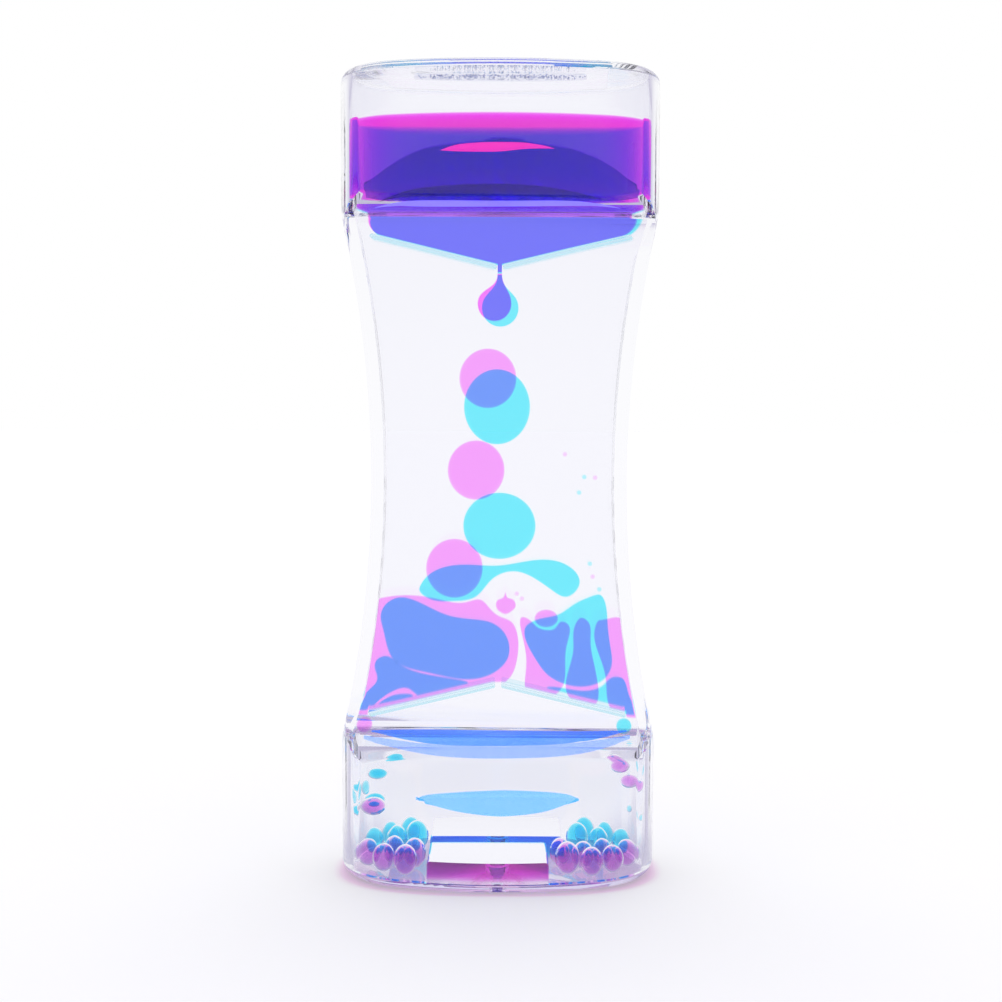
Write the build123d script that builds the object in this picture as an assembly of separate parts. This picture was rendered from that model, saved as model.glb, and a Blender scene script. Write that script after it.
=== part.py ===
from build123d import *
import math
import os

# Liquid motion timer. A clear waisted body holds two chambers side by side, one at the front
# and one at the rear of a flat divider. Each chamber has a reservoir at either end and a thin
# cell between them, where dyed water drips through clear oil from the upper ramps to the lower.
# Millimetres, origin at the centre of the base, +Z up, the front faces -Y.

# Body, outside
total_height = 132.0
end_width = 52.0
end_depth = 30.0
bulge_radius = 58.0          # plan radius of the front and rear faces
waist_width = 41.6
waist_side_radius = 190.0    # hollow sides, seen from the front
side_blend_radius = 16.0     # where the hollow sides meet the upright ones
side_margin = 0.15           # the cut that makes the sides starts this far outside the ends
waist_depth = 10.0           # across the flat panels of the waist
shoulder_radius = 27.5       # swell of the block from the panel out to the bulged face
shoulder_edge_height = 13.0  # from either end to the shoulder's outer edge, on the centre line
panel_edge_height = 23.2     # from either end to the flat panel
panel_blend_radius = 1.6     # hollow blend where shoulder and panel meet
rim_radius = 2.2

# Body, inside
wall = 2.0
plate_thickness = 1.6        # cap and base plate
divider_thickness = 1.2
film = 0.15                  # oil film round every drop and pool

# Filling hole and plug, one in the base for each chamber
plug_radius = 1.25
plug_recess = 0.2
plug_round = 0.3
boss_radius = 1.85
boss_height = 1.5            # above the base plate's upper face
plug_offset = 8.0            # from the divider

# Ramps of the cells: two at the top that meet at the nozzle, and two at the bottom
ramp_thickness = 0.75
ramp_end_gap = 2.1           # from the outer end to the side wall
ramp_end_height = 26.8       # from the nearer end of the body
ramp_rise = 5.0              # from the outer end to the tip
nozzle_gap = 1.0             # between the rounded tips

# Dyed water in the upper reservoirs
front_level_depth = 8.3      # from the top of the body to the surface
rear_level_depth = 8.7
meniscus_rise = 3.6          # from the foot of the pool's edge on the ramp to where it slants out
meniscus_wall_rise = 3.7     # from there up to the side wall
meniscus_gap = 1.55          # from the pool's edge to the side wall
meniscus_radius = 2.6
tongue_drop = 0.35           # how far the pool hangs through the nozzle

# Drops in the cells
end_drop_radius = 1.25       # at the outer end of a lower ramp
front_end_drop_gap = 0.5     # from that drop to the side wall
rear_end_drop_gap = 1.05
front_end_drop_hang = 2.0    # from the ramp's end down to the drop's centre
rear_end_drop_hang = 2.8
speck_radius = 0.42
drop_edge_round = 0.55
forming_gap = 0.25           # between the pool's tongue and the drop that necks off
neck_half_width = 0.36

# Drops and pools in the lower reservoirs
stream_radius = 1.9          # the widest drop that is still falling
bead_radius = 1.7            # drops piled on the base plate
bead_half_height = 2.2
front_base_pool_height = 3.0
rear_base_pool_height = 3.6
base_pool_round = 0.6

overrun = 5.0                # how far cutting shapes run past what they cut

# Air left above the oil, flattened under the cap
bubble_length = 27.0
bubble_breadth = 4.4
bubble_height = 0.9
bubble_round = 0.35
bubble_offset = 7.5          # from the divider

half_height = total_height / 2
end_half = end_width / 2
waist_half = waist_width / 2
depth_half = end_depth / 2
panel_half = waist_depth / 2
divider_half = divider_thickness / 2
cell_half = waist_half - wall            # inside the waist, from the centre line to the side wall
inner_end_half = end_half - wall
inner_depth_half = depth_half - wall
cell_front = panel_half - wall           # inner face of the waist panels, from the mid plane
ramp_tip_height = ramp_end_height + ramp_rise
fall = total_height - 2 * ramp_tip_height     # from the nozzle down to the lower ramps' tips


def inner_reach(height):
    """Half the inside width at a height."""
    hollow = waist_side_radius + wall
    side = waist_half + waist_side_radius - math.sqrt(hollow ** 2 - (height - half_height) ** 2)
    return min(inner_end_half, side)


ramp_end_reach = inner_reach(ramp_end_height) - ramp_end_gap
ramp_slope = math.atan2(ramp_rise, ramp_end_reach)


def plan_curves(inset):
    """Bulge radius and centre, end radius and centre, and where the two arcs of the plan meet."""
    bulge = bulge_radius - inset
    width = end_half - inset
    depth = depth_half - inset
    end_round = (2 * bulge * depth - depth ** 2 - width ** 2) / (2 * (bulge - width))
    side_centre = width - end_round
    bulge_centre = bulge - depth
    reach = math.hypot(side_centre, bulge_centre)
    tangent = (bulge * side_centre / reach, bulge * bulge_centre / reach - bulge_centre)
    return bulge, bulge_centre, end_round, side_centre, tangent


def inside_reach(out, height):
    """How far the inside goes to either side, at a distance from the mid plane and a height."""
    bulge, bulge_centre, end_round, side_centre, tangent = plan_curves(wall)
    if out < tangent[1]:
        plan = side_centre + math.sqrt(end_round ** 2 - out ** 2)
    else:
        plan = math.sqrt(bulge ** 2 - (out + bulge_centre) ** 2)
    return min(plan, inner_reach(height))


def oval(inset):
    """Plan of the body: bulged front and rear faces joined by rounded ends."""
    width = end_half - inset
    depth = depth_half - inset
    tangent_x, tangent_y = plan_curves(inset)[-1]
    front = ThreePointArc((-tangent_x, -tangent_y), (0, -depth), (tangent_x, -tangent_y))
    right = ThreePointArc((tangent_x, -tangent_y), (width, 0), (tangent_x, tangent_y))
    rear = ThreePointArc((tangent_x, tangent_y), (0, depth), (-tangent_x, tangent_y))
    left = ThreePointArc((-tangent_x, tangent_y), (-width, 0), (-tangent_x, -tangent_y))
    return make_face([front, right, rear, left])


def front_outline(inset):
    """Front view of the body: upright ends and hollow sides."""
    width = end_half - inset + side_margin
    hollow = waist_side_radius + inset
    centre = waist_half + waist_side_radius
    face = Pos(0, half_height) * Rectangle(2 * width, total_height + 2 * overrun)
    for side in (-1, 1):
        face -= Pos(side * centre, half_height) * Circle(hollow)
    corners = [v for v in face.vertices() if 0 < v.Y < total_height]
    return fillet(corners, side_blend_radius - inset)


def shoulder_centre():
    """Centre of the shoulder's arc in the side view, as distance from the mid plane and height."""
    out = (depth_half, shoulder_edge_height)
    top = (panel_half, panel_edge_height)
    chord = math.dist(out, top)
    drop = math.sqrt(shoulder_radius ** 2 - (chord / 2) ** 2) / chord
    across = (out[0] + top[0]) / 2 - drop * (top[1] - out[1])
    height = (out[1] + top[1]) / 2 - drop * (out[0] - top[0])
    return across, height


def side_outline(inset):
    """Side view of the body: two end blocks with swollen shoulders and a thin flat waist."""
    across, height = shoulder_centre()
    swell = shoulder_radius - inset
    face = Pos(0, half_height) * Rectangle(2 * (panel_half - inset), total_height + 2 * overrun)
    for level in (height, total_height - height):
        face += (Pos(across, level) * Circle(swell)) & (Pos(-across, level) * Circle(swell))
    edge = panel_half - inset + film
    corners = [v for v in face.vertices() if abs(v.X) < edge and 0 < v.Y < total_height]
    return fillet(corners, panel_blend_radius + inset)


def body_form(inset):
    """The body's solid form, drawn in from the outside by inset and run past both ends."""
    form = Pos(0, 0, -overrun) * extrude(oval(inset), total_height + 2 * overrun)
    form &= extrude(Plane.XZ * front_outline(inset), end_depth, both=True)
    form &= extrude(Plane.YZ * side_outline(inset), end_width, both=True)
    return form


def slab(low, high):
    """A block as wide and deep as the body between two heights."""
    size = 2 * end_width
    return Pos(0, 0, (low + high) / 2) * Box(size, size, high - low)


def half_space(side, start):
    """Everything on one side of the divider: side -1 is the front, +1 the rear."""
    reach = end_depth
    middle = side * (start + reach / 2)
    return Pos(0, middle, half_height) * Box(2 * end_width, reach, 2 * total_height)


def in_cell(face, side, film_gap):
    """Give a front-view outline the depth of a thin cell, less a film at each face."""
    near = divider_half + film_gap
    depth = cell_front - divider_half - 2 * film_gap
    return Pos(0, side * near, 0) * extrude(Plane.XZ * face, -side * depth)


def shared_point(place_shares):
    """A place in the cells: shares of the cell's half width, and of the fall up from the lower tips."""
    return (place_shares[0] * cell_half, ramp_tip_height + place_shares[1] * fall)


def pool_point(place_shares):
    """A place above the lower ramps: shares of the cell's half width, and of the fall up from a ramp."""
    across = place_shares[0] * cell_half
    return across, ramp_tip_height - abs(across) * math.tan(ramp_slope) + place_shares[1] * fall


def closed_blob(points):
    """A smooth closed outline."""
    return make_face(Spline(points, periodic=True))


def ramp_line(offset, side, from_top):
    """Both ends of a ramp's centre line, shifted square to it by offset towards the cell's middle."""
    shift_x = offset * math.sin(ramp_slope)
    shift_z = offset * math.cos(ramp_slope)
    end = (side * (ramp_end_reach + shift_x), ramp_end_height + shift_z)
    tip_reach = nozzle_gap / 2 + ramp_thickness / 2
    tip_rise = ramp_tip_height - tip_reach * math.tan(ramp_slope)
    tip = (side * (tip_reach + shift_x), tip_rise + shift_z)
    if from_top:
        return [(x, total_height - z) for x, z in (end, tip)]
    return [end, tip]


def ramp(side, chamber, from_top):
    """One ramp of a cell, with rounded ends, from the divider to the waist panel."""
    end, tip = ramp_line(0, side, from_top)
    length = math.dist(end, tip)
    angle = math.degrees(math.atan2(tip[1] - end[1], tip[0] - end[0]))
    middle = ((end[0] + tip[0]) / 2, (end[1] + tip[1]) / 2)
    face = Pos(*middle) * Rot(0, 0, angle) * SlotCenterToCenter(length, ramp_thickness)
    return in_cell(face, chamber, 0)


def rimmed_form():
    """The outside of the whole body with its rounded rims."""
    form = body_form(0) & slab(0, total_height)
    rims = form.edges().filter_by(lambda e: abs(e.center().Z - half_height) > half_height - film)
    return fillet(rims, rim_radius)


def plug_place(chamber):
    """Where a chamber's filling hole is, on the centre line."""
    return (0, chamber * plug_offset)


def base_plate(outside):
    """The glued base with a filling boss for each chamber."""
    plate = outside & slab(-overrun, plate_thickness)
    height = plate_thickness + boss_height
    for chamber in (-1, 1):
        x, y = plug_place(chamber)
        plate += Pos(x, y, height / 2) * Cylinder(boss_radius, height)
        plate -= Pos(x, y, height / 2) * Cylinder(plug_radius, 2 * height)
    return plate


def fill_plug(chamber):
    """A round plug pressed into its boss, set just above the table."""
    x, y = plug_place(chamber)
    length = plate_thickness + boss_height - plug_recess
    plug = Pos(x, y, plug_recess + length / 2) * Cylinder(plug_radius, length)
    return chamfer(plug.faces().sort_by(Axis.Z)[0].edges(), plug_round)


def upper_pool(chamber, level_depth, wet):
    """Dyed water standing in the upper reservoir and on the upper ramps."""
    level = total_height - level_depth
    clear = ramp_thickness / 2 + film
    left_end, left_tip = ramp_line(-clear, -1, True)
    rise = (left_end[1] - left_tip[1]) / (left_tip[0] - left_end[0])
    meniscus_reach = inner_reach(left_end[1]) - meniscus_gap
    corner_height = left_end[1] + rise * (meniscus_reach + left_end[0])
    edge_height = corner_height + meniscus_rise
    tongue_half = nozzle_gap / 2 - film
    tongue_top = left_tip[1] + rise * (left_tip[0] + tongue_half)
    tongue_low = total_height - ramp_tip_height - ramp_thickness / 2 - tongue_drop
    half = [
        (end_half, level), (end_half, edge_height + meniscus_wall_rise), (meniscus_reach, edge_height),
        (meniscus_reach, corner_height), (tongue_half, tongue_top), (tongue_half, tongue_low),
    ]
    points = half + [(-x, z) for x, z in reversed(half)]
    face = make_face(Polyline(points, close=True))
    corners = [v for v in face.vertices() if abs(v.Y - corner_height) < film]
    face = fillet(corners, meniscus_radius)
    return extrude(Plane.XZ * face, end_depth, both=True) & wet


def forming_drop(chamber, across_share, down_share, radius_share):
    """The drop that is necking off below the nozzle."""
    x, z = shared_point((across_share, 1 - down_share))
    radius = radius_share * fall
    top = total_height - ramp_tip_height - ramp_thickness / 2 - tongue_drop - forming_gap
    neck = neck_half_width
    down, up = (0, -1), (0, 1)
    left = Spline([(-neck, top), (x - radius, z)], tangents=[down, down])
    under = ThreePointArc((x - radius, z), (x, z - radius), (x + radius, z))
    right = Spline([(x + radius, z), (neck, top)], tangents=[up, up])
    closing = Line((neck, top), (-neck, top))
    return in_cell(make_face([left, under, right, closing]), chamber, film)


def flat_drop(chamber, place, half_width, half_tall):
    """A drop pressed flat between the cell's faces."""
    drop = in_cell(Pos(*place) * Ellipse(half_width, half_tall), chamber, film)
    return fillet(drop.edges().filter_by(lambda e: e.geom_type != GeomType.LINE), drop_edge_round)


def shared_drop(chamber, shares):
    """A flat drop whose place and half sizes are shares of the cell and of the fall."""
    across_share, up_share, width_share, tall_share = shares
    return flat_drop(chamber, shared_point((across_share, up_share)), width_share * fall, tall_share * fall)


def end_drop(chamber, side, hang, wall_gap):
    """The drop that leaves the outer end of a lower ramp, beside the wall."""
    height = ramp_end_height - hang
    across = inner_reach(height) - wall_gap - end_drop_radius
    return flat_drop(chamber, (side * across, height), end_drop_radius, end_drop_radius)


def round_drop(place, half_width, half_tall):
    """A free drop in a reservoir, flattened by its weight."""
    return Pos(*place) * scale(Sphere(half_width), by=(1, 1, half_tall / half_width))


def landed_pool(shares, wet, chamber):
    """Dyed water lying on the lower ramps, trimmed by the ramps and the side walls."""
    clear = ramp_thickness / 2 + film
    left_end, left_tip = ramp_line(clear, -1, False)
    keep_out = ramp_end_reach + clear
    below = [
        (-keep_out, left_end[1]), (left_end[0], left_end[1]), (left_tip[0], left_tip[1]),
        (-left_tip[0], left_tip[1]), (-left_end[0], left_end[1]), (keep_out, left_end[1]),
        (keep_out, 0), (-keep_out, 0),
    ]
    outline = closed_blob([pool_point(p) for p in shares])
    face = outline - make_face(Polyline(below, close=True))
    return in_cell(face, chamber, film) & wet


def base_pool(chamber, wall_shares, tall, wet):
    """The layer that lies on the base plate and over the boss, between the heaps of beads."""
    left = wall_shares[0] * bead_radius - inner_end_half
    right = inner_end_half - wall_shares[1] * bead_radius
    low = plate_thickness + film
    face = Pos((left + right) / 2, low + tall / 2) * Rectangle(right - left, tall)
    upper = face.vertices().sort_by(Axis.Y)[-2:]
    face = fillet(upper, base_pool_round)
    pool = extrude(Plane.XZ * face, end_depth, both=True) & wet
    x, y = plug_place(chamber)
    covered = plate_thickness + boss_height + film
    return pool - Pos(x, y, covered / 2) * Cylinder(boss_radius + film, covered)


def heap(chamber, side, shares):
    """Drops that have come down the end of the lower ramps and haven't merged yet."""
    low = plate_thickness + film
    beads = []
    for wall_share, out_share, size_share in shares:
        out = out_share * inner_depth_half
        across = inside_reach(out, low) - wall_share * bead_radius
        place = (side * across, chamber * out, low + size_share * bead_half_height)
        beads.append(round_drop(place, size_share * bead_radius, size_share * bead_half_height))
    return Compound(children=beads)


def air_bubble(chamber):
    """The air left for expansion, flattened under the cap."""
    x, y = 0, chamber * bubble_offset
    top = total_height - plate_thickness - film
    plan = Ellipse(bubble_length / 2, bubble_breadth / 2)
    bubble = Pos(x, y, top - bubble_height) * extrude(plan, bubble_height)
    return fillet(bubble.edges().filter_by(lambda e: e.geom_type != GeomType.LINE), bubble_round)


# Places and outlines in the cells: shares of the cell's half width, and of the fall from the lower
# ramps' tips up to the nozzle. The pools' heights start at the line of the ramps.
front_forming_shares = (-0.045, 0.086, 0.04)   # across, down from the nozzle, radius
rear_forming_shares = (0.005, 0.094, 0.044)
front_drop_shares = {
    "front_drop_upper": (-0.1, 0.737, 0.068, 0.071),
    "front_drop_middle": (-0.2, 0.517, 0.068, 0.071),
    "front_drop_lower": (-0.388, 0.28, 0.068, 0.071),
}
rear_drop_shares = {
    "rear_drop_upper": (-0.02, 0.668, 0.08, 0.091),
    "rear_drop_lower": (0.005, 0.378, 0.088, 0.081),
}
front_resting_drop_shares = (0.42, 0.159, 0.028, 0.021)
rear_slug_shares = [
    (-0.7, 0.228), (-0.59, 0.263), (-0.33, 0.282), (-0.01, 0.28), (0.37, 0.295), (0.64, 0.276),
    (0.72, 0.241), (0.6, 0.205), (0.48, 0.22), (0.36, 0.243), (0.15, 0.267), (-0.06, 0.247),
    (-0.2, 0.205), (-0.43, 0.193), (-0.63, 0.201),
]
front_blob_shares = [
    (-0.02, 0.189), (0.01, 0.205), (0.045, 0.21), (0.06, 0.222), (0.075, 0.21), (0.12, 0.205),
    (0.15, 0.189), (0.11, 0.176), (0.06, 0.17), (0.01, 0.176),
]
front_pool_shares = {
    "front_pool_left": [
        (-1.3, 0.268), (-1.03, 0.275), (-0.82, 0.268), (-0.51, 0.237), (-0.28, 0.216), (-0.16, 0.214),
        (-0.07, 0.185), (0.02, 0.163), (0.11, 0.158), (0.16, 0.137), (0.165, 0.071), (0.11, 0.025),
        (-0.1, -0.01), (-0.6, -0.01), (-1.1, -0.004), (-1.22, 0.004), (-1.3, 0.104),
    ],
    "front_pool_centre": [
        (0.24, 0.176), (0.29, 0.17), (0.34, 0.16), (0.42, 0.158), (0.5, 0.168), (0.55, 0.187),
        (0.6, 0.187), (0.6, 0.133), (0.55, 0.023), (0.42, -0.008), (0.27, -0.007), (0.245, 0.084),
    ],
    "front_pool_finger": [
        (0.74, 0.209), (0.79, 0.203), (0.81, 0.158), (0.84, 0.108), (0.87, 0.07), (0.85, 0.006),
        (0.64, 0.006), (0.66, 0.125), (0.69, 0.197),
    ],
    "front_pool_right": [
        (0.89, 0.214), (0.96, 0.222), (1.04, 0.231), (1.25, 0.178), (1.27, 0.005), (1.14, -0.005),
        (1.0, 0.004), (0.95, 0.071), (0.89, 0.127), (0.86, 0.202),
    ],
}
rear_pool_shares = {
    "rear_pool_left": [
        (-1.04, 0.208), (-0.99, 0.253), (-0.88, 0.259), (-0.74, 0.242), (-0.45, 0.187), (-0.22, 0.162),
        (-0.06, 0.143), (0.07, 0.111), (0.09, 0.064), (-0.06, 0.018), (-0.25, 0.017), (-0.61, 0.056),
        (-0.92, 0.106),
    ],
    "rear_pool_left_lower": [
        (-1.09, 0.09), (-1.06, 0.122), (-1.0, 0.122), (-0.88, 0.095), (-0.61, 0.05), (-0.36, 0.022),
        (-0.27, 0.009), (-0.45, -0.01), (-0.72, 0.008), (-0.8, 0.03), (-0.95, 0.032), (-1.06, 0.016),
        (-1.13, -0), (-1.2, 0.004), (-1.19, 0.039),
    ],
    "rear_pool_left_corner": [
        (-1.06, 0.005), (-0.99, 0.018), (-0.84, 0.018), (-0.76, 0.008), (-0.78, -0.017), (-1.0, -0.019),
    ],
    "rear_pool_right": [
        (0.27, 0.155), (0.37, 0.174), (0.53, 0.195), (0.68, 0.232), (0.82, 0.259), (0.9, 0.269),
        (0.96, 0.24), (0.97, 0.207), (1.0, 0.145), (1.01, 0.104), (0.95, 0.067), (0.81, 0.039),
        (0.6, 0.029), (0.45, 0.04), (0.33, 0.074),
    ],
    "rear_pool_right_lower": [
        (0.45, 0.011), (0.6, 0.017), (0.82, 0.027), (0.95, 0.052), (1.01, 0.071), (1.1, 0.077),
        (1.17, 0.038), (1.22, -0.004), (1.14, -0.009), (1.0, -0.013), (0.7, -0.023), (0.45, -0.02),
    ],
}
front_speck_shares = [(0.575, 0.556), (0.84, 0.5), (0.825, 0.261), (0.16, 0.219), (0.205, 0.207)]
rear_speck_shares = [(0.755, 0.498), (0.71, 0.46), (0.81, 0.286), (0.896, 0.223)]

# Drops on their way down the reservoirs: widest drops' radii in from the side wall, shares of the
# half depth inside and of the panel's height, then their half sizes as shares of the widest drop's
front_stream_shares = {
    "front_stream_left": [((1.35, 0.39, 0.512), (1, 0.76))],
    "front_stream_right": [((1.68, 0.338, 0.794), (0.84, 0.58)), ((1.01, 0.25, 0.677), (0.74, 0.6))],
}
rear_stream_shares = {
    "rear_stream_left": [
        ((1.36, 0.323, 0.651), (0.95, 0.53)), ((0.75, 0.13, 0.575), (0.37, 0.63)),
        ((1.23, 0.27, 0.464), (1, 0.68)),
    ],
    "rear_stream_right": [((0.51, 0.3, 0.774), (0.37, 0.42)), ((0.41, 0.27, 0.41), (0.26, 0.32))],
}

# Heaps of beads on the base: bead radii in from the side wall, a share of the half depth inside,
# and a size share
front_left_heap_shares = [
    (1.3, 0.277, 1), (1.97, 0.515, 1.02), (2.78, 0.685, 1.12), (3.87, 0.22, 1.06), (5.5, 0.37, 1.1),
]
front_right_heap_shares = [
    (1.34, 0.262, 1), (1.81, 0.523, 1), (2.52, 0.692, 1.06), (3.71, 0.23, 1), (5.17, 0.39, 1.02),
    (5.36, 0.63, 1.2), (7.72, 0.27, 1.04),
]
rear_left_heap_shares = [
    (1.32, 0.27, 1), (1.9, 0.52, 1.02), (2.61, 0.69, 1.06), (3.87, 0.22, 1.1), (5.39, 0.38, 1.16),
]
rear_right_heap_shares = [
    (1.34, 0.262, 1), (1.88, 0.523, 1.04), (2.68, 0.69, 1.08), (3.87, 0.22, 1.06), (5.53, 0.38, 1.1),
]
# Ends of the layers between the heaps: bead radii in from the left and from the right wall
front_base_pool_shares = (7.5, 9.32)
rear_base_pool_shares = (7.48, 7.76)


def specks(chamber, place_shares):
    """Specks of dye that broke off the drops and drift in the cell."""
    middle = (divider_half + cell_front) / 2
    balls = []
    for place in place_shares:
        x, z = shared_point(place)
        balls.append(Pos(x, chamber * middle, z) * Sphere(speck_radius))
    return Compound(children=balls)


def stream(chamber, side, drops):
    """Drops that fall together through a reservoir."""
    solids = []
    for (wall_share, out_share, height_share), (width_share, tall_share) in drops:
        out = out_share * inner_depth_half
        height = height_share * panel_edge_height
        across = inside_reach(out, height) - wall_share * stream_radius
        place = (side * across, chamber * out, height)
        solids.append(round_drop(place, width_share * stream_radius, tall_share * stream_radius))
    return Compound(children=solids)


def structure():
    """The clear mouldings and the plugs."""
    outside = rimmed_form()
    top = total_height - plate_thickness
    inside = body_form(wall) & slab(plate_thickness, top)
    middle_slab = Pos(0, 0, half_height) * Box(2 * end_width, divider_thickness, 2 * total_height)
    nodes = {
        "body_shell": (outside & slab(plate_thickness, top)) - inside,
        "top_cap": outside & slab(top, total_height + overrun),
        "base_plate": base_plate(outside),
        "divider_plate": inside & middle_slab,
    }
    for chamber, name in ((-1, "front"), (1, "rear")):
        nodes[name + "_fill_plug"] = fill_plug(chamber)
        for side, hand in ((-1, "left"), (1, "right")):
            nodes[f"{name}_upper_ramp_{hand}"] = ramp(side, chamber, True)
            nodes[f"{name}_lower_ramp_{hand}"] = ramp(side, chamber, False)
    return nodes


def front_liquid(wet):
    """The front chamber's dyed water and its air bubble."""
    nodes = {
        "front_upper_pool": upper_pool(-1, front_level_depth, wet),
        "front_forming_drop": forming_drop(-1, *front_forming_shares),
        "front_landed_blob": in_cell(closed_blob([shared_point(p) for p in front_blob_shares]), -1, film),
        "front_resting_drop": shared_drop(-1, front_resting_drop_shares),
        "front_end_drop": end_drop(-1, -1, front_end_drop_hang, front_end_drop_gap),
        "front_specks": specks(-1, front_speck_shares),
        "front_base_pool": base_pool(-1, front_base_pool_shares, front_base_pool_height, wet),
        "front_beads_left": heap(-1, -1, front_left_heap_shares),
        "front_beads_right": heap(-1, 1, front_right_heap_shares),
        "front_air_bubble": air_bubble(-1),
    }
    for name, shares in front_drop_shares.items():
        nodes[name] = shared_drop(-1, shares)
    for name, outline in front_pool_shares.items():
        nodes[name] = landed_pool(outline, wet, -1)
    for name, drops in front_stream_shares.items():
        nodes[name] = stream(-1, -1 if name.endswith("left") else 1, drops)
    return nodes


def rear_liquid(wet):
    """The rear chamber's dyed water."""
    nodes = {
        "rear_upper_pool": upper_pool(1, rear_level_depth, wet),
        "rear_forming_drop": forming_drop(1, *rear_forming_shares),
        "rear_slug": in_cell(closed_blob([shared_point(p) for p in rear_slug_shares]), 1, film),
        "rear_end_drop": end_drop(1, 1, rear_end_drop_hang, rear_end_drop_gap),
        "rear_specks": specks(1, rear_speck_shares),
        "rear_base_pool": base_pool(1, rear_base_pool_shares, rear_base_pool_height, wet),
        "rear_beads_left": heap(1, -1, rear_left_heap_shares),
        "rear_beads_right": heap(1, 1, rear_right_heap_shares),
    }
    for name, shares in rear_drop_shares.items():
        nodes[name] = shared_drop(1, shares)
    for name, outline in rear_pool_shares.items():
        nodes[name] = landed_pool(outline, wet, 1)
    for name, drops in rear_stream_shares.items():
        nodes[name] = stream(1, -1 if name.endswith("left") else 1, drops)
    return nodes


inside_film = body_form(wall + film) & slab(plate_thickness + film, total_height - plate_thickness - film)
parts = structure()
parts.update(front_liquid(inside_film & half_space(-1, divider_half + film)))
parts.update(rear_liquid(inside_film & half_space(1, divider_half + film)))
os.makedirs("parts", exist_ok=True)
for name, shape in parts.items():
    export_step(shape, f"parts/{name}.step")
print(len(parts), "nodes")
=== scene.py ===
import math

import bmesh
import bpy
from mathutils import Matrix, Vector
from mathutils.bvhtree import BVHTree


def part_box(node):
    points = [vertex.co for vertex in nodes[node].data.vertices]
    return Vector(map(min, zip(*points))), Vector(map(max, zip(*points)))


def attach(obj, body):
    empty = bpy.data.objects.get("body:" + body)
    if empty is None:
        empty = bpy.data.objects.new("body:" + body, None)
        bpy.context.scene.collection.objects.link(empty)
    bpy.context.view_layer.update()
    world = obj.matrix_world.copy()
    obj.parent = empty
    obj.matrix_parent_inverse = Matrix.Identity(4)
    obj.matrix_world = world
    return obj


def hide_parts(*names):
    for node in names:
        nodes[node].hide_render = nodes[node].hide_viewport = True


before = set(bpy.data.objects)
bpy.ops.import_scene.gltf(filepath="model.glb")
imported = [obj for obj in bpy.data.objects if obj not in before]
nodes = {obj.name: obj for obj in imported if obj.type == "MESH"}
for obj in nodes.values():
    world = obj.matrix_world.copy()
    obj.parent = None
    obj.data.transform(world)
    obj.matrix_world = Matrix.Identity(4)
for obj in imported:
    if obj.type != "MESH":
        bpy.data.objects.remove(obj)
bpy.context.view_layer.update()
mm = 0.001
print("frame loaded,", len(nodes), "nodes")


def linear(hexColour):
    # sRGB hex to the linear colour that shaders use
    channels = [int(hexColour[i:i + 2], 16) / 255 for i in (1, 3, 5)]
    curved = [c / 12.92 if c <= 0.04045 else ((c + 0.055) / 1.055) ** 2.4 for c in channels]
    return tuple(curved) + (1,)


def addNode(tree, kind, settings=None, inputs=None):
    # one node with its settings; an input is a value, or a socket that gets linked
    node = tree.nodes.new(kind)
    for name, value in (settings or {}).items():
        setattr(node, name, value)
    for name, value in (inputs or {}).items():
        socket = node.inputs[name]
        if isinstance(value, bpy.types.NodeSocket):
            tree.links.new(value, socket)
        else:
            socket.default_value = value
    return node


def newMaterial(name):
    material = bpy.data.materials.new(name)
    material.use_nodes = True
    material.node_tree.nodes.clear()
    return material, material.node_tree


# Camera, at the photograph's place

shot = {
    "place": (0.33 * mm, -269.3 * mm, 83.4 * mm),
    "pitch": 3.74,        # degrees down
    "roll": 0.23,
    "lens": 58.5,
    "sensor": 36,         # what the lens length is measured against
    "shiftDown": 0.0234,  # share of the frame
    "nearest": 10,        # mm, nothing closer is drawn
    "frame": 1002,        # pixels on a side
    "bounces": 32,        # a ray crosses up to 16 clear faces on its way through
}


def placeCamera():
    camera = bpy.data.cameras.new("photoCamera")
    camera.lens = shot["lens"]
    camera.shift_y = -shot["shiftDown"]
    camera.clip_start = shot["nearest"] * mm
    holder = bpy.data.objects.new("photoCamera", camera)
    tilt = Matrix.Rotation(math.radians(90 - shot["pitch"]), 4, "X")
    roll = Matrix.Rotation(math.radians(shot["roll"]), 4, "Z")
    holder.matrix_world = Matrix.Translation(shot["place"]) @ (tilt @ roll)
    bpy.context.scene.collection.objects.link(holder)
    bpy.context.scene.camera = holder


def setView():
    scene = bpy.context.scene
    scene.view_settings.view_transform = "Standard"
    scene.cycles.max_bounces = shot["bounces"]
    scene.cycles.transmission_bounces = shot["bounces"]
    scene.cycles.glossy_bounces = shot["bounces"]


# White studio: a bright wall behind, greyer sides and front that draw the clear edges

studio = {
    "behind": "#FFFFFF",
    "side": "#BBB6D0",
    "front": "#83818F",
    "frontStart": 0.2,    # how far forward, as a cosine, the front's grey begins and is full
    "frontEnd": -0.9,
    "frontRise": 0.5,     # how far up, as a sine, the front fades from floor white to grey
    "sideStart": 0.42,    # how far off the middle, as a sine, the side's grey begins and is full
    "sideEnd": 0.98,
    "floorSize": 4.0,
    "floorColour": "#F4F4F4",
    "floorLift": 0.36,    # brings the floor up to the backdrop's white
    "floorThrough": 0.9,  # share of the room's colour where the floor shows through clear plastic
    "paintedGlow": "#E07AD2",    # painted pink light, where light through the pink layer would fall
    "paintedGlowReach": 1.07,    # how far it spreads, as a share of the base
    "paintedGlowFull": 0.92,     # where it reaches its full strength, on the same scale to the power below
    "paintedGlowShare": 0.75,
    "baseHalves": (26, 15),  # mm
    "basePower": 2.6,     # 2 would be an ellipse, more is squarer
}


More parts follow.
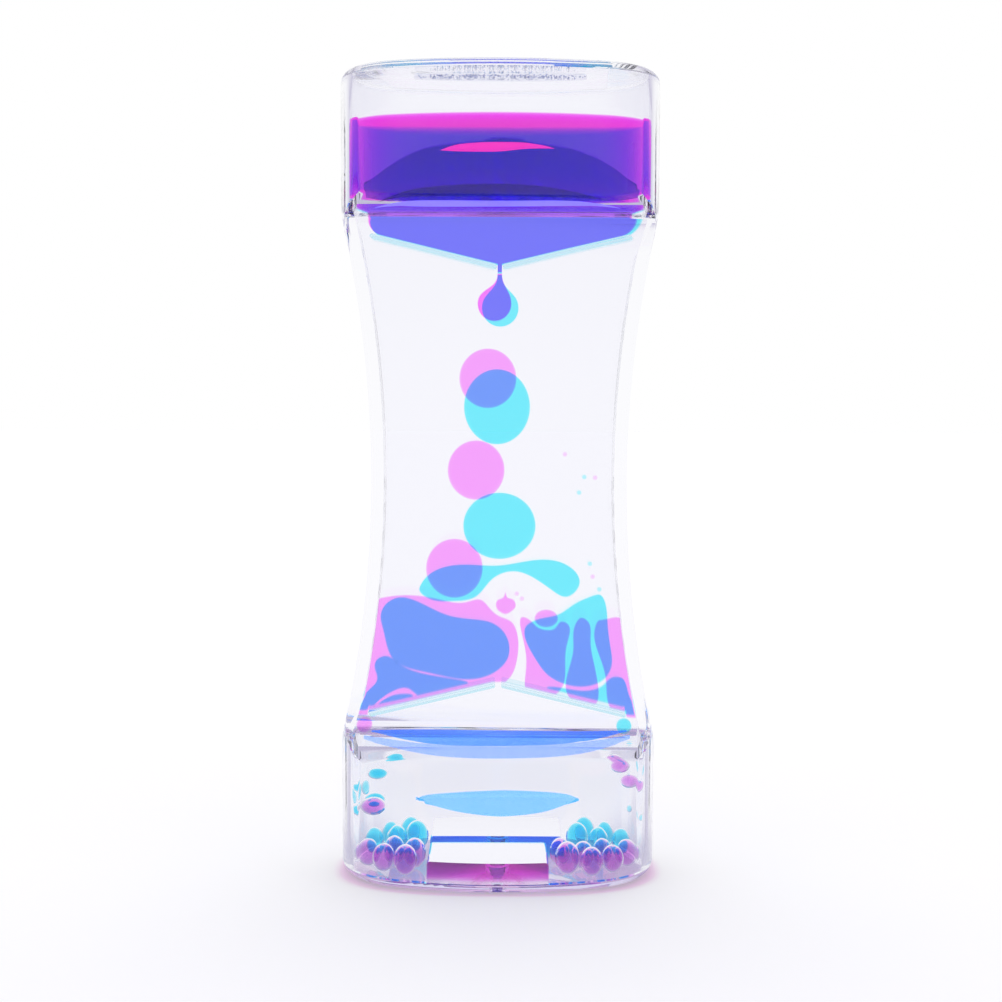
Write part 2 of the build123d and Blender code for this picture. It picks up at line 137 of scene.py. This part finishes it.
def seenDirectly(tree):
    # 1 for what the camera sees straight on, in gloss or through clear plastic
    path = addNode(tree, "ShaderNodeLightPath")
    first = addNode(tree, "ShaderNodeMath", {"operation": "MAXIMUM"}, {
        0: path.outputs["Is Camera Ray"], 1: path.outputs["Is Glossy Ray"]})
    return addNode(tree, "ShaderNodeMath", {"operation": "MAXIMUM"}, {
        0: first.outputs[0], 1: path.outputs["Is Transmission Ray"]}).outputs[0]


def makeWorld():
    world = bpy.data.worlds.new("studio")
    world.use_nodes = True
    tree = world.node_tree
    tree.nodes.clear()
    direction = addNode(tree, "ShaderNodeTexCoord").outputs["Generated"]
    axes = addNode(tree, "ShaderNodeSeparateXYZ", inputs={"Vector": direction})
    across = addNode(tree, "ShaderNodeMath", {"operation": "ABSOLUTE"}, {0: axes.outputs["X"]})
    sides = addNode(tree, "ShaderNodeMapRange", {"interpolation_type": "SMOOTHSTEP"}, {
        "Value": across.outputs[0],
        "From Min": studio["sideStart"], "From Max": studio["sideEnd"]})
    front = addNode(tree, "ShaderNodeMapRange", {"interpolation_type": "SMOOTHSTEP"}, {
        "Value": axes.outputs["Y"],
        "From Min": studio["frontStart"], "From Max": studio["frontEnd"]})
    rise = addNode(tree, "ShaderNodeMapRange", inputs={
        "Value": axes.outputs["Z"], "From Min": 0.0, "From Max": studio["frontRise"]})
    grey = addNode(tree, "ShaderNodeMath", {"operation": "MULTIPLY"}, {
        0: front.outputs["Result"], 1: rise.outputs["Result"]})
    wall = addNode(tree, "ShaderNodeMix", {"data_type": "RGBA"}, {
        0: grey.outputs[0], 6: linear(studio["behind"]), 7: linear(studio["front"])})
    room = addNode(tree, "ShaderNodeMix", {"data_type": "RGBA"}, {
        0: sides.outputs["Result"], 6: wall.outputs[2], 7: linear(studio["side"])})
    path = addNode(tree, "ShaderNodeLightPath")
    seen = addNode(tree, "ShaderNodeMix", {"data_type": "RGBA"}, {
        0: path.outputs["Is Camera Ray"], 6: room.outputs[2], 7: linear(studio["behind"])})
    light = addNode(tree, "ShaderNodeBackground", inputs={
        "Color": seen.outputs[2], "Strength": 1.0})
    addNode(tree, "ShaderNodeOutputWorld", inputs={"Surface": light.outputs[0]})
    bpy.context.scene.world = world


def paperSweep():
    # matt white paper: soft shadow, painted pink light on it round the base, and seen through the
    # plastic it takes the room's colour of that direction, so that no horizon crosses the timer
    material, tree = newMaterial("whitePaperSweep")
    spot = addNode(tree, "ShaderNodeTexCoord").outputs["Object"]
    place = addNode(tree, "ShaderNodeSeparateXYZ", inputs={0: spot})
    onBase = []
    for axis, half in zip("XY", studio["baseHalves"]):
        share = addNode(tree, "ShaderNodeMath", {"operation": "DIVIDE"}, {
            0: place.outputs[axis], 1: half * mm})
        size = addNode(tree, "ShaderNodeMath", {"operation": "ABSOLUTE"}, {0: share.outputs[0]})
        onBase.append(addNode(tree, "ShaderNodeMath", {"operation": "POWER"}, {
            0: size.outputs[0], 1: studio["basePower"]}).outputs[0])
    away = addNode(tree, "ShaderNodeMath", {"operation": "ADD"}, {0: onBase[0], 1: onBase[1]})
    # painted pink light: a pink ring in the paper's colour, full under and next to the base, fading
    # outwards
    paintedGlowMask = addNode(tree, "ShaderNodeMapRange", {"interpolation_type": "SMOOTHSTEP"}, {
        "Value": away.outputs[0], "From Min": studio["paintedGlowReach"] ** studio["basePower"],
        "From Max": studio["paintedGlowFull"], "To Max": studio["paintedGlowShare"]})
    paper = addNode(tree, "ShaderNodeMix", {"data_type": "RGBA"}, {
        0: paintedGlowMask.outputs["Result"], 6: linear(studio["floorColour"]), 7: linear(studio["paintedGlow"])})
    matt = addNode(tree, "ShaderNodeBsdfDiffuse", inputs={"Color": paper.outputs[2]})
    lift = addNode(tree, "ShaderNodeMath", {"operation": "MULTIPLY"}, {
        0: seenDirectly(tree), 1: studio["floorLift"]})
    raised = addNode(tree, "ShaderNodeEmission", inputs={
        "Color": (1, 1, 1, 1), "Strength": lift.outputs[0]})
    both = addNode(tree, "ShaderNodeAddShader", inputs={0: matt.outputs[0], 1: raised.outputs[0]})

    flat = addNode(tree, "ShaderNodeCombineXYZ", inputs={
        0: place.outputs["X"], 1: place.outputs["Y"]})
    bearing = addNode(tree, "ShaderNodeVectorMath", {"operation": "NORMALIZE"}, {
        0: flat.outputs[0]})
    axes = addNode(tree, "ShaderNodeSeparateXYZ", inputs={0: bearing.outputs[0]})
    sideways = addNode(tree, "ShaderNodeMath", {"operation": "ABSOLUTE"}, {0: axes.outputs["X"]})
    turned = addNode(tree, "ShaderNodeMapRange", {"interpolation_type": "SMOOTHSTEP"}, {
        "Value": sideways.outputs[0],
        "From Min": studio["sideStart"], "From Max": studio["sideEnd"]})
    room = addNode(tree, "ShaderNodeMix", {"data_type": "RGBA"}, {
        0: turned.outputs["Result"], 6: linear(studio["behind"]), 7: linear(studio["side"])})
    roomLight = addNode(tree, "ShaderNodeEmission", inputs={
        "Color": room.outputs[2], "Strength": 1.0})
    path = addNode(tree, "ShaderNodeLightPath")
    through = addNode(tree, "ShaderNodeMath", {"operation": "MULTIPLY"}, {
        0: path.outputs["Is Transmission Ray"], 1: studio["floorThrough"]})
    seen = addNode(tree, "ShaderNodeMixShader", inputs={
        0: through.outputs[0], 1: both.outputs[0], 2: roomLight.outputs[0]})
    addNode(tree, "ShaderNodeOutputMaterial", inputs={"Surface": seen.outputs[0]})
    return material


def makeFloor():
    half = studio["floorSize"] / 2
    corners = [(-half, -half, 0), (half, -half, 0), (half, half, 0), (-half, half, 0)]
    mesh = bpy.data.meshes.new("studioFloor")
    mesh.from_pydata(corners, [], [(0, 1, 2, 3)])
    mesh.materials.append(paperSweep())
    floor = bpy.data.objects.new("studioFloor", mesh)
    bpy.context.scene.collection.objects.link(floor)


# Clear plastic. The chambers are full of oil, so a face that touches oil bends light only by
# the ratio of the two indices, and everything inside is given as it acts in oil.

optics = {
    "acrylic": 1.49,
    "oil": 1.46,
    "waterInOil": 0.913,
    "gloss": 0.015,       # roughness of a face moulded against polished steel
    "waveSize": 9.0,      # mm between the soft waves that moulding leaves
    "waveDepth": 0.004,   # mm
    "dropWaveSize": 3.0,  # mm, on the skin of a drop
    "dropWaveDepth": 0.002,
    "waveDetail": 2,
    "waveRoughness": 0.5,
}
finishes = {
    # index against what the face meets, tint, roughness
    # polished outside: glossy, bends the view hard where it curves
    "acrylicPolished": (optics["acrylic"], "#FBFBFE", optics["gloss"]),
    # inner face in oil of nearly the same index: only a faint line shows
    "acrylicWetByOil": (optics["acrylic"] / optics["oil"], "#FEFEFF", optics["gloss"]),
    # glued face: glue fills the joint, so it can't be seen
    "acrylicGlued": (1.0, "#FFFFFF", optics["gloss"]),
    # thin strips seen along their length: their cyan tint is painted light, the cyan water's colour
    # seen in their edges
    "acrylicRamps": (1.04, "#E6F9FC", optics["gloss"]),
    # plate under the water layers: its lilac tint is painted light, the colour the layers cast into
    # it
    "acrylicBase": (optics["acrylic"], "#DAD6F0", optics["gloss"]),
    # satin moulded plug: milky and dull, the one soft-looking part of the base
    "plugSatin": (1.1, "#CDBFE2", 0.2),
    # air in oil: tiny balls, their grey tint painted shade for the grey rims that bubbles show
    "frothBubbles": (1.3, "#C9CCE0", optics["gloss"]),
    # flat pocket of air: hardly there, with a soft edge
    "airPocket": (1.03, "#F1F2F8", 0.1),
}


def waves(tree, size, depth):
    # soft unevenness of a moulded face, size and depth in mm
    place = addNode(tree, "ShaderNodeTexCoord").outputs["Object"]
    noise = addNode(tree, "ShaderNodeTexNoise", inputs={
        "Vector": place, "Scale": 1 / (size * mm),
        "Detail": optics["waveDetail"], "Roughness": optics["waveRoughness"]})
    return addNode(tree, "ShaderNodeBump", inputs={
        "Height": noise.outputs["Fac"], "Distance": depth * mm, "Strength": 1.0}).outputs["Normal"]


def clearPlastic(name):
    index, tint, roughness = finishes[name]
    material, tree = newMaterial(name)
    surface = addNode(tree, "ShaderNodeBsdfPrincipled", inputs={
        "Base Color": linear(tint), "Roughness": roughness, "IOR": index,
        "Transmission Weight": 1.0,
        "Normal": waves(tree, optics["waveSize"], optics["waveDepth"])})
    addNode(tree, "ShaderNodeOutputMaterial", inputs={"Surface": surface.outputs[0]})
    return material


# Dyed water: what a millimetre of it takes out of red, green and blue

dyes = {
    # flat in the thin cells: clear, bright and even, violet where the two cross
    "pinkWater": (0.004, 0.48, 0.004),
    "cyanWater": (0.93, 0.05, 0.003),
    # about the nozzles: the same water, seen a little stronger
    "pinkWaterNozzle": (0.004, 0.8, 0.004),
    "cyanWaterNozzle": (0.86, 0.05, 0.003),
    # deep in the upper reservoir: dark violet-blue
    "pinkWaterDeep": (0.012, 0.95, 0.035),
    "cyanWaterDeep": (0.25, 0.05, 0.004),
    # round drops and beads in oil: full colour with a pale rim
    "pinkWaterDrops": (0.1, 0.42, 0.06),
    "cyanWaterDrops": (0.95, 0.1, 0.012),
    # layers on the base: dark from the front, with a top that mirrors white
    "pinkWaterLayer": (0.07, 0.75, 0.11),
    "cyanWaterLayer": (1.4, 0.17, 0.002),
}
dyeHeadroom = 1.02  # density over the strongest absorption, so that no channel is quite black


def dyeInside(tree, absorption):
    # the dye fills the body, so thick water shows darker than thin
    density = max(absorption) * dyeHeadroom / mm
    colour = tuple(1 - a / mm / density for a in absorption) + (1,)
    return addNode(tree, "ShaderNodeVolumeAbsorption", inputs={
        "Color": colour, "Density": density}).outputs[0]


def dyedWater(name):
    # its faces lie flat on the panels through an oil film, so they don't bend the view
    material, tree = newMaterial(name)
    surface = addNode(tree, "ShaderNodeBsdfPrincipled", inputs={
        "Base Color": (1, 1, 1, 1), "Roughness": 0.0, "IOR": 1.0, "Transmission Weight": 1.0})
    addNode(tree, "ShaderNodeOutputMaterial", inputs={
        "Surface": surface.outputs[0], "Volume": dyeInside(tree, dyes[name])})
    return material


def dyedGlass(name):
    # water in oil has a relative index under 1, which only the glass shader takes: faces seen at a
    # low angle turn to mirrors, so a layer's top looks white and a bead gets its pale crescent
    material, tree = newMaterial(name)
    surface = addNode(tree, "ShaderNodeBsdfGlass", inputs={
        "Color": (1, 1, 1, 1), "Roughness": 0.0, "IOR": optics["waterInOil"],
        "Normal": waves(tree, optics["dropWaveSize"], optics["dropWaveDepth"])})
    addNode(tree, "ShaderNodeOutputMaterial", inputs={
        "Surface": surface.outputs[0], "Volume": dyeInside(tree, dyes[name])})
    return material


def bothChambers(maker, ending):
    # pink water in front, cyan water behind
    return {"front": maker("pinkWater" + ending), "rear": maker("cyanWater" + ending)}


def dress(node, material):
    mesh = nodes[node].data
    mesh.materials.clear()
    mesh.materials.append(material)


# Clear mouldings. Faces that touch would pass a ray back and forth between them, so each piece is
# drawn a hair smaller where it meets the next.

joint = {
    "gap": 0.03,          # mm
    "crease": 25.0,       # degrees, above which an edge stays sharp
    "plateTop": 1.6,      # mm, the base plate's upper face
    "weld": 0.001,        # mm, corners closer than this are one
    "level": 0.999,       # upright share of a face's normal, above which it is an end face
    "endReach": 0.01,     # mm, how close to the shell's end such a face lies
    "plateReach": 0.005,  # mm, the same for a plate's inner face
}


def cleanCopy(node):
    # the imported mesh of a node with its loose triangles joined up
    mesh = nodes[node].data.copy()
    shape = bmesh.new()
    shape.from_mesh(mesh)
    bmesh.ops.remove_doubles(shape, verts=shape.verts, dist=joint["weld"] * mm)
    return mesh, shape


def addPiece(name, mesh):
    piece = bpy.data.objects.new(name, mesh)
    bpy.context.scene.collection.objects.link(piece)
    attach(piece, "timer_body")
    return piece


def finishPiece(name, mesh, shape, materials, node):
    for face in shape.faces:
        face.smooth = True
    shape.to_mesh(mesh)
    shape.free()
    mesh.materials.clear()
    for material in materials:
        mesh.materials.append(material)
    mesh.set_sharp_from_angle(angle=math.radians(joint["crease"]))
    piece = addPiece(name, mesh)
    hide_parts(node)


def shellFromFrame(airFace, oilFace, glueFace):
    # its own finish where the shell meets air, oil and its glued ends
    mesh, shape = cleanCopy("body_shell")
    low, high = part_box("body_shell")
    ends = set()
    for face in shape.faces:
        height = face.calc_center_median().z
        fromEnd = min(height - low.z, high.z - height)
        if abs(face.normal.z) > joint["level"] and fromEnd < joint["endReach"] * mm:
            ends.add(face)
    outer = set()
    stack = [max((f for f in shape.faces if f not in ends), key=lambda f: f.calc_center_median().x)]
    while stack:  # spreads over the outside, up to the glued ends
        face = stack.pop()
        if face in outer:
            continue
        outer.add(face)
        beside = [f for edge in face.edges for f in edge.link_faces]
        stack += [f for f in beside if f not in ends and f not in outer]
    for face in shape.faces:
        face.material_index = 2 if face in ends else (0 if face in outer else 1)
    materials = (airFace, oilFace, glueFace)
    finishPiece("clearBody", mesh, shape, materials, "body_shell")


def slimmed(node, name, material, axes):
    # shorter by the gap at both ends of each named axis
    mesh, shape = cleanCopy(node)
    low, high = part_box(node)
    for axis in axes:
        middle = (low[axis] + high[axis]) / 2
        share = 1 - 2 * joint["gap"] * mm / (high[axis] - low[axis])
        for point in shape.verts:
            point.co[axis] = middle + (point.co[axis] - middle) * share
    finishPiece(name, mesh, shape, (material,), node)


def endPlate(node, name, faceHeight, shift, airFace, oilFace):
    # cap or base: the face that meets the shell and the oil drawn back by the gap
    mesh, shape = cleanCopy(node)
    reach = joint["plateReach"] * mm
    for face in shape.faces:
        inner = all(abs(v.co.z - faceHeight) < reach for v in face.verts)
        face.material_index = 1 if inner else 0
    for point in shape.verts:
        if abs(point.co.z - faceHeight) < reach:
            point.co.z += shift
    finishPiece(name, mesh, shape, (airFace, oilFace), node)


# The upper pools: deep water in the reservoir, thin water in the cell below, where the dye shows
# far stronger for its depth

split = {"height": 108.9, "gap": 0.02}   # mm


def splitPool(node, deepWater, thinWater):
    for part, keep, material in (("deep", 1, deepWater), ("thin", -1, thinWater)):
        mesh, shape = cleanCopy(node)
        everything = shape.verts[:] + shape.edges[:] + shape.faces[:]
        level = (split["height"] + keep * split["gap"] / 2) * mm
        cut = bmesh.ops.bisect_plane(shape, geom=everything, plane_co=(0, 0, level),
                                     plane_no=(0, 0, keep), clear_inner=True)
        rim = [e for e in cut["geom_cut"] if isinstance(e, bmesh.types.BMEdge)]
        bmesh.ops.holes_fill(shape, edges=rim, sides=0)
        manySided = [f for f in shape.faces if len(f.verts) > 4]
        bmesh.ops.triangulate(shape, faces=manySided)
        bmesh.ops.recalc_face_normals(shape, faces=shape.faces)
        finishPiece(node + "_" + part, mesh, shape, (material,), node)


# Froth under the cap: many tiny bubbles in the flat air pocket

froth = {
    "size": (13.2, 1.9),  # mm, half length and half breadth of the patch
    "radius": 0.14,       # mm
    "smallest": 0.35,     # the least bubble, as a share of that
    "amount": 420,
    "drop": 0.45,         # mm, below the cap's underside
    "roundness": 2,       # subdivisions of each ball
    "turn": 6.2832,       # radians, all the way round
    "seed": 7,
}


def frothTree(bubbleMaterial):
    tree = bpy.data.node_groups.new("frothOfBubbles", "GeometryNodeTree")
    for name, kind in (("Half length", "NodeSocketFloat"), ("Half breadth", "NodeSocketFloat"),
                       ("Bubble radius", "NodeSocketFloat"), ("Amount", "NodeSocketInt")):
        tree.interface.new_socket(name, in_out="INPUT", socket_type=kind)
    tree.interface.new_socket("Geometry", in_out="OUTPUT", socket_type="NodeSocketGeometry")
    given = addNode(tree, "NodeGroupInput").outputs
    across = addNode(tree, "FunctionNodeRandomValue", {"data_type": "FLOAT_VECTOR"}, {
        0: (0, 0, -1), 1: (1, froth["turn"], 1), "Seed": froth["seed"]})
    shares = addNode(tree, "ShaderNodeSeparateXYZ", inputs={0: across.outputs[0]})
    reach = addNode(tree, "ShaderNodeMath", {"operation": "SQRT"}, {0: shares.outputs["X"]})
    place = []
    for operation, size in (("COSINE", "Half length"), ("SINE", "Half breadth")):
        turn = addNode(tree, "ShaderNodeMath", {"operation": operation}, {0: shares.outputs["Y"]})
        share = addNode(tree, "ShaderNodeMath", {"operation": "MULTIPLY"}, {
            0: reach.outputs[0], 1: turn.outputs[0]})
        place.append(addNode(tree, "ShaderNodeMath", {"operation": "MULTIPLY"}, {
            0: share.outputs[0], 1: given[size]}).outputs[0])
    rise = addNode(tree, "ShaderNodeMath", {"operation": "MULTIPLY"}, {
        0: shares.outputs["Z"], 1: given["Bubble radius"]})
    spot = addNode(tree, "ShaderNodeCombineXYZ", inputs={
        0: place[0], 1: place[1], 2: rise.outputs[0]})
    points = addNode(tree, "GeometryNodePoints", inputs={
        "Count": given["Amount"], "Position": spot.outputs[0]})
    ball = addNode(tree, "GeometryNodeMeshIcoSphere", inputs={
        "Radius": given["Bubble radius"], "Subdivisions": froth["roundness"]})
    scale = addNode(tree, "FunctionNodeRandomValue", {"data_type": "FLOAT"}, {
        2: froth["smallest"], 3: 1.0, "Seed": froth["seed"] + 1})
    placed = addNode(tree, "GeometryNodeInstanceOnPoints", inputs={
        "Points": points.outputs[0], "Instance": ball.outputs["Mesh"], "Scale": scale.outputs[1]})
    real = addNode(tree, "GeometryNodeRealizeInstances", inputs={0: placed.outputs[0]})
    dressed = addNode(tree, "GeometryNodeSetMaterial", inputs={
        "Geometry": real.outputs[0], "Material": bubbleMaterial})
    addNode(tree, "NodeGroupOutput", inputs={0: dressed.outputs[0]})
    return tree


def makeFroth(bubbleMaterial):
    maker = bpy.data.objects.new("frothMaker", bpy.data.meshes.new("frothMaker"))
    bpy.context.scene.collection.objects.link(maker)
    modifier = maker.modifiers.new("froth", "NODES")
    modifier.node_group = frothTree(bubbleMaterial)
    halfLength, halfBreadth = froth["size"]
    sizes = {"Half length": halfLength * mm, "Half breadth": halfBreadth * mm,
             "Bubble radius": froth["radius"] * mm, "Amount": froth["amount"]}
    for socket in modifier.node_group.interface.items_tree:
        if socket.in_out == "INPUT":
            modifier[socket.identifier] = sizes[socket.name]
    bpy.context.view_layer.update()
    ready = maker.evaluated_get(bpy.context.evaluated_depsgraph_get())
    mesh = bpy.data.meshes.new_from_object(ready)
    mesh.name = "frothUnderCap"
    low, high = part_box("front_air_bubble")
    middle = ((low.x + high.x) / 2, (low.y + high.y) / 2, high.z - froth["drop"] * mm)
    mesh.transform(Matrix.Translation(middle))
    maker.modifiers.remove(modifier)
    bpy.data.objects.remove(maker)
    addPiece("frothUnderCap", mesh)


# The swollen shoulders throw images of the dyed layers: a lens and a ledge below, a lens, an arc
# and a bright edge above.
# They are painted in as tinted films inside the wall, some glowing with painted light, over the
# outlines that they have in the photograph's frame, in its pixels.

paintedFilms = {
    "depth": {"tinted": 0.9, "raised": 0.9, "lit": 0.6},   # mm behind the outer face
    "light": {"tinted": 0, "raised": 0.16, "lit": 0.6},    # painted glow of its own, though it is no lamp
    "paler": {"tinted": 0.12, "raised": 0.12, "lit": 0.08},  # how far its colour drifts to white
    "driftSize": 5,       # mm
    "litRoughness": 0.6,
    "thickness": 0.04,    # mm
    "columns": 36,
    "rows": 5,
}
images = {
    # tinted: a painted image that darkens what lies behind; raised: a painted glow that adds what
    # two more clear faces take away;
    # lit: a painted highlight, brighter than what lies behind, and in front of the others
    "deepBlueImage": {
        "kind": "tinted", "colour": "#9A82FF", "slot": "cyan_water",
        "upper": [(363.5, 181.7), (385.8, 166), (414.8, 150.5), (446, 143.8), (499.6, 140.4),
                  (553.2, 144.9), (586.7, 152.7), (618, 168.3), (640, 186.2)],
        "lower": [(366, 200), (385.8, 202.7), (414.8, 203), (446, 203), (499.6, 203),
                  (553.2, 203), (586.7, 203), (618, 203), (638, 200)],
    },
    "pinkLensImage": {
        "kind": "lit", "colour": "#E91DC0", "slot": "pink_water",
        "upper": [(440.5, 151.6), (455, 146.4), (475.1, 144), (499.6, 143.3), (524.2, 144),
                  (544.3, 147.1), (554.3, 150)],
        "lower": [(440.5, 151.8), (455, 152.7), (475.1, 153.1), (499.6, 152.9), (524.2, 150.4),
                  (544.3, 149.9), (554.3, 150.2)],
    },
    "darkCrescentImage": {
        "kind": "tinted", "colour": "#B9B9DC", "slot": "cyan_water",
        "upper": [(378, 204), (397, 196.2), (423.8, 190.6), (464, 187.3), (508.6, 186.6),
                  (542, 189.5), (575.5, 195), (606.8, 201.8)],
        "lower": [(378, 204.4), (397, 200), (423.8, 198.5), (464, 198.5), (508.6, 198.2),
                  (542, 199), (575.5, 200), (606.8, 202)],
    },
    "brightEdgeImage": {
        "kind": "lit", "colour": "#998BFD", "slot": "cyan_water",
        "upper": [(374.6, 208.9), (397, 204), (423.8, 201.8), (499.6, 202.2), (566.6, 202.2),
                  (597.9, 205.1), (620.2, 209.6)],
        "lower": [(374.6, 209.2), (397, 207.4), (423.8, 208), (499.6, 208), (566.6, 207.4),
                  (597.9, 207.6), (620.2, 209.8)],
    },
    "blueLedgeImage": {
        "kind": "raised", "colour": "#3F9FEA", "slot": "cyan_water",
        "upper": [(372.4, 731.3), (419.3, 730.2), (499.6, 731.3), (575.5, 732), (626.9, 731.3)],
        "lower": [(372.4, 732.4), (430.4, 741.8), (499.6, 744), (575.5, 740.9), (626.9, 732.4)],
    },
    "paleLedgeImage": {
        "kind": "raised", "colour": "#A3C4EC", "slot": "cyan_water",
        "upper": [(363.5, 735), (430.4, 742), (499.6, 744.2), (575.5, 741.1), (630.2, 735)],
        "lower": [(363.5, 738), (430.4, 752.9), (499.6, 756.5), (575.5, 752.5), (630.2, 738)],
    },
    "blueLensImage": {
        "kind": "raised", "colour": "#78CCFE", "slot": "cyan_water",
        "upper": [(414.8, 798.3), (426, 793.1), (455, 790.4), (486.3, 788.7), (508.6, 788.2),
                  (542, 789.6), (566.6, 792.2), (578.9, 797.1)],
        "lower": [(414.8, 798.7), (430.4, 806.1), (455, 812.8), (486.3, 817.2), (508.6, 817.7),
                  (542, 813.9), (566.6, 806.1), (578.9, 799.4)],
    },
}


def paintedImageFilm(name, hexColour, kind):
    # painted image of dyed light in clear plastic: soft and uneven, glowing with painted light in
    # the raised and lit kinds, with no gloss of its own
    material, tree = newMaterial(name)
    colour = linear(hexColour)
    paler = tuple(c + (1 - c) * paintedFilms["paler"][kind] for c in colour[:3]) + (1,)
    place = addNode(tree, "ShaderNodeTexCoord").outputs["Object"]
    drift = addNode(tree, "ShaderNodeTexNoise", inputs={
        "Vector": place, "Scale": 1 / (paintedFilms["driftSize"] * mm), "Detail": 2})
    shade = addNode(tree, "ShaderNodeMix", {"data_type": "RGBA"}, {
        0: drift.outputs["Fac"], 6: colour, 7: paler})
    surface = addNode(tree, "ShaderNodeBsdfPrincipled", inputs={
        "Base Color": shade.outputs[2], "IOR": 1.0,
        "Roughness": paintedFilms["litRoughness"] if kind == "lit" else 0.0,
        "Transmission Weight": 0.0 if kind == "lit" else 1.0,
        "Emission Color": colour, "Emission Strength": paintedFilms["light"][kind]})
    addNode(tree, "ShaderNodeOutputMaterial", inputs={"Surface": surface.outputs[0]})
    return material


def alongCurve(points, share):
    # a smooth curve through the points
    last = len(points) - 1
    at = min(share * last, last - 1e-6)
    k = int(at)
    t = at - k
    a, b, c, d = (Vector(points[min(max(k + j, 0), last)]) for j in (-1, 0, 1, 2))
    square = (2 * a - 5 * b + 4 * c - d) * t * t
    return 0.5 * (2 * b + (c - a) * t + square + (3 * b - a - 3 * c + d) * t ** 3)


def wallFilm(name, image, wall):
    # each point of the outline is carried from the camera's place onto the wall, and set inside it
    view = bpy.context.scene.camera.matrix_world
    focal = shot["lens"] / shot["sensor"]
    centre = Vector((0.5, 0.5 - shot["shiftDown"]))
    depth = paintedFilms["depth"][image["kind"]] * mm
    shape = bmesh.new()
    grid = []
    for row in range(paintedFilms["rows"]):
        line = []
        for column in range(paintedFilms["columns"]):
            upper = alongCurve(image["upper"], column / (paintedFilms["columns"] - 1))
            lower = alongCurve(image["lower"], column / (paintedFilms["columns"] - 1))
            spot = upper.lerp(lower, row / (paintedFilms["rows"] - 1)) / shot["frame"] - centre
            ray = (view.to_3x3() @ Vector((spot.x / focal, -spot.y / focal, -1))).normalized()
            hit, normal = wall.ray_cast(view.translation, ray)[:2]
            if normal.dot(ray) > 0:
                normal = -normal
            line.append(shape.verts.new(hit - normal * depth))
        grid.append(line)
    for upperLine, lowerLine in zip(grid, grid[1:]):
        for k in range(paintedFilms["columns"] - 1):
            shape.faces.new((upperLine[k], lowerLine[k], lowerLine[k + 1], upperLine[k + 1]))
    bmesh.ops.solidify(shape, geom=shape.faces[:], thickness=paintedFilms["thickness"] * mm)
    bmesh.ops.recalc_face_normals(shape, faces=shape.faces)
    for face in shape.faces:
        face.smooth = True
    mesh = bpy.data.meshes.new(name)
    shape.to_mesh(mesh)
    shape.free()
    mesh.materials.append(paintedImageFilm(name + "Film", image["colour"], image["kind"]))
    addPiece(name, mesh)


def makeFilms():
    source = nodes["body_shell"].data
    corners = [v.co for v in source.vertices]
    wall = BVHTree.FromPolygons(corners, [p.vertices for p in source.polygons])
    for name, image in images.items():
        wallFilm(name, image, wall)


placeCamera()
makeWorld()
makeFloor()
setView()
print("studio ready")

plastics = {name: clearPlastic(name) for name in finishes}
outside, wetByOil = plastics["acrylicPolished"], plastics["acrylicWetByOil"]
gap = joint["gap"] * mm
shellFromFrame(outside, wetByOil, plastics["acrylicGlued"])
endPlate("top_cap", "clearCap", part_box("top_cap")[0].z, gap, outside, wetByOil)
endPlate("base_plate", "clearBase", joint["plateTop"] * mm, -gap, plastics["acrylicBase"], wetByOil)
slimmed("divider_plate", "clearDivider", wetByOil, (0, 2))
print("mouldings ready")

flatWater = bothChambers(dyedWater, "")
nozzleWater = bothChambers(dyedWater, "Nozzle")
deepWater = bothChambers(dyedWater, "Deep")
dropWater = bothChambers(dyedGlass, "Drops")
layerWater = bothChambers(dyedGlass, "Layer")
for name in nodes:
    chamber = name.split("_")[0]
    if "_ramp_" in name:
        rampName = name.replace("_ramp_", "_clear_ramp_")
        slimmed(name, rampName, plastics["acrylicRamps"], (1,))
    elif "fill_plug" in name:
        slimmed(name, name + "_satin", plastics["plugSatin"], (0, 1))
    elif "bubble" in name:
        dress(name, plastics["airPocket"])
    elif "beads" in name or "stream" in name:
        dress(name, dropWater[chamber])
    elif "base_pool" in name:
        dress(name, layerWater[chamber])
    elif "upper_pool" in name:
        splitPool(name, deepWater[chamber], nozzleWater[chamber])
    elif "forming" in name:
        dress(name, nozzleWater[chamber])
    elif chamber in flatWater:
        dress(name, flatWater[chamber])
print("water ready")

makeFroth(plastics["frothBubbles"])
makeFilms()
print("froth and films ready")
